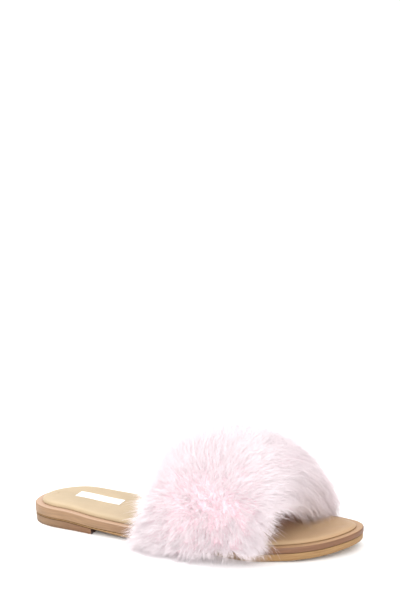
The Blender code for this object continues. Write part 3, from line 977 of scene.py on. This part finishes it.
def pile_seat(row, x, across):
    """Where a row's hair leaves the strap, or the sole's side below it, and its way out."""
    if row.out == 0.0:
        out = arch_outward(x, row.round)
        return arch_place(x, row.round) + out * (STRAP_WALL + 0.5 * MM), out
    side = -1 if row.round < 0.5 else 1
    edge = side_of_sole(x, side) + side * MM
    lift = max(row.up, hem_lift(across)) if side < 0 else row.up
    foot = (arch_place(x, row.round) + arch_outward(x, row.round) * STRAP_WALL).y
    top = rim_height(x) + MM
    tilt = math.radians(row.tilt)
    seat = Vector((
        x, foot + (edge - foot) * row.out, HEM_HEIGHT + (top - HEM_HEIGHT) * lift
    ))
    return seat, Vector((0, side * math.cos(tilt), math.sin(tilt)))


def pile_field():
    """Seats, ways and values of the pile on a grid of rows and columns."""
    seats, ways, values = [], [], []
    for row in PILE_ROWS:
        for j in range(PILE_COLUMNS + 1):
            across = j / PILE_COLUMNS
            seat, out = pile_seat(
                row, strap_rear(row.round) + STRAP_WIDTH * across, across
            )
            front = max(0.0, (across - 0.55) / 0.45)
            fan = PILE_FAN * (2 * across - 1) + FRINGE_TURN * row.droop * front
            edge = row.rear if across < 0.5 else row.front
            nearness = abs(2 * across - 1)
            depth = PILE_DEPTH * row.depth * (1 + (edge - 1) * nearness**1.5)
            seats.append(seat)
            ways.append(out * math.cos(fan) + Vector((math.sin(fan), 0, 0)))
            values.append((depth, row.droop * front, row.comb, row.tufts, row.foot))
    shape = (len(PILE_ROWS), PILE_COLUMNS + 1, -1)
    return tuple(np.array(grid).reshape(shape) for grid in (seats, ways, values))


def read_field(grid, rows, columns):
    """Values of a grid at shares of the way down its rows and along its columns."""
    u = np.clip(rows, 0, 1) * (grid.shape[0] - 1)
    v = np.clip(columns, 0, 1) * (grid.shape[1] - 1)
    i = np.minimum(u.astype(int), grid.shape[0] - 2)
    j = np.minimum(v.astype(int), grid.shape[1] - 2)
    a, b = (u - i)[:, None], (v - j)[:, None]
    near = grid[i, j] * (1 - b) + grid[i, j + 1] * b
    far = grid[i + 1, j] * (1 - b) + grid[i + 1, j + 1] * b
    return near * (1 - a) + far * a


def edge_share(across):
    """How near a place is to the pile's rear or front edge: 0 on the strap's middle run."""
    return np.clip((np.abs(2 * across - 1) - 0.70) / 0.30, 0, 1)


def undercoat_mesh(field, material):
    """The dense short pile on the strap, as one smooth closed cushion."""
    seats, ways, values = field
    rows, columns = UNDERCOAT_ROWS, UNDERCOAT_COLUMNS
    u, v = np.meshgrid(np.linspace(0, 1, rows + 1), np.linspace(0, 1, columns + 1), indexing="ij")
    u, v = u.ravel(), v.ravel()
    seat, way = read_field(seats, u, v), unit(read_field(ways, u, v))
    depth = read_field(values, u, v)[:, 0:1]
    share = UNDERCOAT_SHARE * (1 - 0.35 * edge_share(v))
    skin = seat + way * depth * share[:, None]
    skin[:, 2] = np.maximum(skin[:, 2], UNDERCOAT_FLOOR_GAP)
    bm = bmesh.new()
    bmesh.ops.create_grid(bm, x_segments=columns, y_segments=rows, size=0.5)
    bm.verts.ensure_lookup_table()
    for vert in bm.verts:
        i, j = round((vert.co.y + 0.5) * rows), round((vert.co.x + 0.5) * columns)
        vert.index = i * (columns + 1) + j
    top = {vert.index: vert for vert in bm.verts}
    low = bmesh.ops.extrude_face_region(bm, geom=bm.faces[:], use_keep_orig=True)["geom"]
    for vert in (item for item in low if isinstance(item, bmesh.types.BMVert)):
        i, j = round((vert.co.y + 0.5) * rows), round((vert.co.x + 0.5) * columns)
        vert.co = seat[i * (columns + 1) + j]
    for index, vert in top.items():
        vert.co = skin[index]
    bmesh.ops.recalc_face_normals(bm, faces=bm.faces)
    return mesh_object("fur_undercoat", bm, material, math.pi)


def scatter(field, count, rng):
    """Shares down and along the pile's grid, spread evenly over its outer surface."""
    seats, ways, values = field
    skin = seats + ways * values[:, :, 0:1]
    along = skin[1:, :-1] - skin[:-1, :-1]
    across = skin[:-1, 1:] - skin[:-1, :-1]
    area = np.linalg.norm(np.cross(along, across), axis=2) + 2e-6
    area *= 1 + EDGE_DENSITY * edge_share((np.arange(area.shape[1]) + 0.5) / area.shape[1])
    chosen = rng.choice(area.size, size=count, p=(area / area.sum()).ravel())
    i, j = np.divmod(chosen, area.shape[1])
    u = (i + rng.random(count)) / area.shape[0]
    v = (j + rng.random(count)) / area.shape[1]
    return u, v


def nearest(points, centres):
    """Index of the nearest centre to each point."""
    found = np.empty(len(points), int)
    for start in range(0, len(points), 4000):
        part = points[start : start + 4000]
        gaps = ((part[:, None, :] - centres[None]) ** 2).sum(axis=2)
        found[start : start + 4000] = gaps.argmin(axis=1)
    return found


def combed_round(seats):
    """Way along the strap from the outer to the inner side at each place of the grid."""
    return unit(np.gradient(seats, axis=0))


def hair_paths(field, count, looks, rng):
    """Hairs that fan out from the strap, gathered in tufts of two sizes, and droop."""
    seats, ways, values = field
    u, v = scatter(field, count, rng)
    seat, way = read_field(seats, u, v), unit(read_field(ways, u, v))
    depth, droop, comb, gather, foot = read_field(values, u, v).T
    round_way = read_field(combed_round(seats), u, v)
    share = ROOT_SHARE * (1 - edge_share(v) * rng.uniform(0.25, 0.95, count))
    roots = seat + way * (depth * share)[:, None]
    ends = seat + way * depth[:, None] + round_way * (comb * COMB_REACH)[:, None]
    small = nearest(ends, ends[: looks.tufts])
    large = nearest(ends, ends[: looks.tufts // 8])
    stray = rng.normal(0, 1.0, (looks.tufts, 3))
    lean = (LARGE_TUFT_LEAN * stray[large] + SMALL_TUFT_LEAN * stray[small]) * gather[:, None]
    lean += round_way * comb[:, None]
    lean[:, 2] -= FRONT_DROOP * droop + SIDE_HANG * (1 - np.abs(way[:, 2]))
    lengths = depth * (1 - ROOT_SHARE) + looks.hair * (0.35 + 0.7 * droop)
    reach = lengths * rng.uniform(0.75, 1.08, count)
    reach *= 1 + 0.14 * rng.normal(0, 1, looks.tufts)[small] * gather
    strays = rng.random(count) < FLYAWAY_SHARE
    reach[strays] *= FLYAWAY_REACH
    reach = reach[:, None, None]
    t = STRAND_STEPS[None, :, None]
    start = unit(way + 0.5 * lean + rng.normal(0, HAIR_SPREAD, (count, 3)))
    bend = 0.5 * lean + rng.normal(0, HAIR_SPREAD, (count, 3))
    paths = roots[:, None] + (start[:, None] * t + bend[:, None] * t**2) * reach
    start, bend = unit(way + 0.5 * lean)[small], 0.5 * lean[small]
    guide = roots[small][:, None] + (start[:, None] * t + bend[:, None] * t**2) * reach
    pull = np.where(strays, 0.1, gather * rng.uniform(0.3, 0.8, count))
    pull = pull[:, None, None] * t**1.2
    paths = paths * (1 - pull) + guide * pull
    paths[:, :, 2] = np.maximum(paths[:, :, 2], FLOOR_GAP)
    tone = np.clip(foot * rng.uniform(0.6, 1.1, count), 0, 1)
    return paths, tone, u


def strands_mesh(name, paths, thickness, tone, material):
    """Joined mesh of thin three-sided hairs, closed at the root and drawn to a point."""
    count = len(paths)
    along = unit(np.diff(paths, axis=1))
    first = unit(np.cross(along, [0.31, 0.87, 0.38]))
    second = np.cross(along, first)
    radius = thickness[:, None] * STRAND_WIDTHS[None] / 2
    rings = []
    for k in range(3):
        angle = 2 * math.pi * k / 3
        turn = first * math.cos(angle) + second * math.sin(angle)
        rings.append(paths[:, :3] + turn * radius[:, :, None])
    verts = np.concatenate([np.stack(rings, axis=2).reshape(count, 9, 3), paths[:, 3:]], axis=1)
    quads = []
    for level in (0, 3):
        for k in range(3):
            n = (k + 1) % 3
            quads.append([level + k, level + n, level + 3 + n, level + 3 + k])
    tips = [[6 + k, 6 + (k + 1) % 3, 9] for k in range(3)]
    pattern = [0, 2, 1] + sum(quads, []) + sum(tips, [])
    sizes = [3] + [4] * 6 + [3] * 3
    loops = (np.array(pattern)[None] + 10 * np.arange(count)[:, None]).ravel()
    sizes = np.tile(sizes, count)
    mesh = bpy.data.meshes.new(name)
    mesh.vertices.add(count * 10)
    mesh.vertices.foreach_set("co", verts.astype(np.float32).ravel())
    mesh.loops.add(len(loops))
    mesh.loops.foreach_set("vertex_index", loops.astype(np.int32))
    mesh.polygons.add(len(sizes))
    starts = np.concatenate([[0], np.cumsum(sizes)[:-1]])
    mesh.polygons.foreach_set("loop_start", starts.astype(np.int32))
    mesh.polygons.foreach_set("use_smooth", np.ones(len(sizes), bool))
    height = np.repeat(STRAND_STEPS, [3, 3, 3, 1])
    uv = np.stack([np.repeat(tone, 10), np.tile(height, count)], axis=1)
    layer = mesh.uv_layers.new(name="Strand")
    layer.data.foreach_set("uv", uv[loops].astype(np.float32).ravel())
    mesh.update(calc_edges=True)
    mesh.validate()
    mesh.materials.append(material)
    obj = bpy.data.objects.new(name, mesh)
    bpy.context.scene.collection.objects.link(obj)
    return obj


class SANDAL_OT_fur(bpy.types.Operator):
    """Grows the pile: an undercoat on the strap, and fine hairs in tufts over it."""

    bl_idname = "sandal.fur"
    bl_label = "Fur"

    def execute(self, context):
        looks = context.scene.sandal_fur
        rng = np.random.default_rng(FUR_SEED)
        field = pile_field()
        undercoat = undercoat_mesh(field, pile_undercoat(looks))
        stands_for(undercoat, "fur")
        count = looks.count
        paths, tone, rows = hair_paths(field, count, looks, rng)
        thickness = looks.thickness * rng.uniform(0.7, 1.15, count)
        material = pile_hair(looks)
        order = np.argsort(rows)
        for name, chosen in zip(FUR_PIECES, np.array_split(order, len(FUR_PIECES))):
            piece = strands_mesh(
                "fur_" + name, paths[chosen], thickness[chosen], tone[chosen], material
            )
            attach(piece, BODY)
        return {"FINISHED"}


# Stage. The camera looks past the shoe's middle, so that it lies low in a tall picture.
CAMERA_AZIMUTH = math.radians(20.48)
CAMERA_ELEVATION = math.radians(19.31)
LOOK_AZIMUTH = math.radians(20.13)
LOOK_DOWN = math.radians(9.11)
AIM = Vector((place_along(0.5), 0.0, 10 * MM))


class SANDAL_OT_stage(bpy.types.Operator):
    """Sets the floor, the soft studio light and the camera."""

    bl_idname = "sandal.stage"
    bl_label = "Stage"

    def execute(self, context):
        looks = context.scene.sandal_stage
        self.floor(looks)
        self.light("key", (-0.7, 0.25, 1.1), 1.2, 9.0)
        self.light("fill", (0.4, -1.3, 0.8), 1.4, 14.0)
        self.world(context)
        self.camera(context, looks)
        context.scene.view_settings.view_transform = "Standard"
        return {"FINISHED"}

    def floor(self, looks):
        material, _, shader = new_material("studio_paper")
        shader.inputs["Base Color"].default_value = opaque(looks.floor)
        shader.inputs["Roughness"].default_value = 0.9
        bm = bmesh.new()
        bmesh.ops.create_grid(bm, x_segments=2, y_segments=2, size=8.0)
        floor = mesh_object("studio_floor", bm, material, math.radians(30))

    def light(self, name, place, size, power):
        lamp = bpy.data.lights.new("studio_" + name, "AREA")
        lamp.shape = "DISK"
        lamp.size = size
        lamp.energy = power
        obj = bpy.data.objects.new("studio_" + name, lamp)
        obj.location = place
        obj.rotation_euler = (AIM - Vector(place)).to_track_quat("-Z", "Y").to_euler()
        bpy.context.scene.collection.objects.link(obj)

    def world(self, context):
        world = bpy.data.worlds.new("studio_world")
        world.use_nodes = True
        background = world.node_tree.nodes["Background"]
        background.inputs["Color"].default_value = (1, 1, 1, 1)
        background.inputs["Strength"].default_value = 1.3
        context.scene.world = world

    def camera(self, context, looks):
        camera = bpy.data.cameras.new("studio_camera")
        camera.lens = looks.lens
        camera.sensor_width = 36.0
        camera.sensor_fit = "AUTO"
        camera.clip_start = 0.05
        obj = bpy.data.objects.new("studio_camera", camera)
        flat = math.cos(CAMERA_ELEVATION)
        back = Vector((
            math.sin(CAMERA_AZIMUTH) * flat,
            -math.cos(CAMERA_AZIMUTH) * flat,
            math.sin(CAMERA_ELEVATION),
        ))
        obj.location = AIM + back * looks.distance
        obj.rotation_euler = Euler((math.pi / 2 - LOOK_DOWN, 0.0, LOOK_AZIMUTH))
        context.scene.collection.objects.link(obj)
        context.scene.camera = obj


class SANDAL_PT_panel(bpy.types.Panel):
    """Lists the builders of the sandal's pieces."""

    bl_idname = "SANDAL_PT_panel"
    bl_label = "Sandal"
    bl_space_type = "VIEW_3D"
    bl_region_type = "UI"
    bl_category = "Sandal"

    def draw(self, context):
        for operator in OPERATORS:
            self.layout.operator(operator.bl_idname)


GROUPS = (
    ("sandal_sole", SandalSole),
    ("sandal_footbed", SandalFootbed),
    ("sandal_fur", SandalFur),
    ("sandal_stage", SandalStage),
)
OPERATORS = (
    SANDAL_OT_sole,
    SANDAL_OT_footbed,
    SANDAL_OT_strap,
    SANDAL_OT_fur,
    SANDAL_OT_stage,
)


def register():
    for name, group in GROUPS:
        bpy.utils.register_class(group)
        setattr(bpy.types.Scene, name, bpy.props.PointerProperty(type=group))
    for operator in OPERATORS:
        bpy.utils.register_class(operator)
    bpy.utils.register_class(SANDAL_PT_panel)


def unregister():
    bpy.utils.unregister_class(SANDAL_PT_panel)
    for operator in reversed(OPERATORS):
        bpy.utils.unregister_class(operator)
    for name, group in reversed(GROUPS):
        delattr(bpy.types.Scene, name)
        bpy.utils.unregister_class(group)


def main():
    register()
    bpy.ops.sandal.sole()
    bpy.ops.sandal.footbed()
    bpy.ops.sandal.strap()
    bpy.ops.sandal.fur()
    bpy.ops.sandal.stage()


if __name__ == "__main__":
    main()
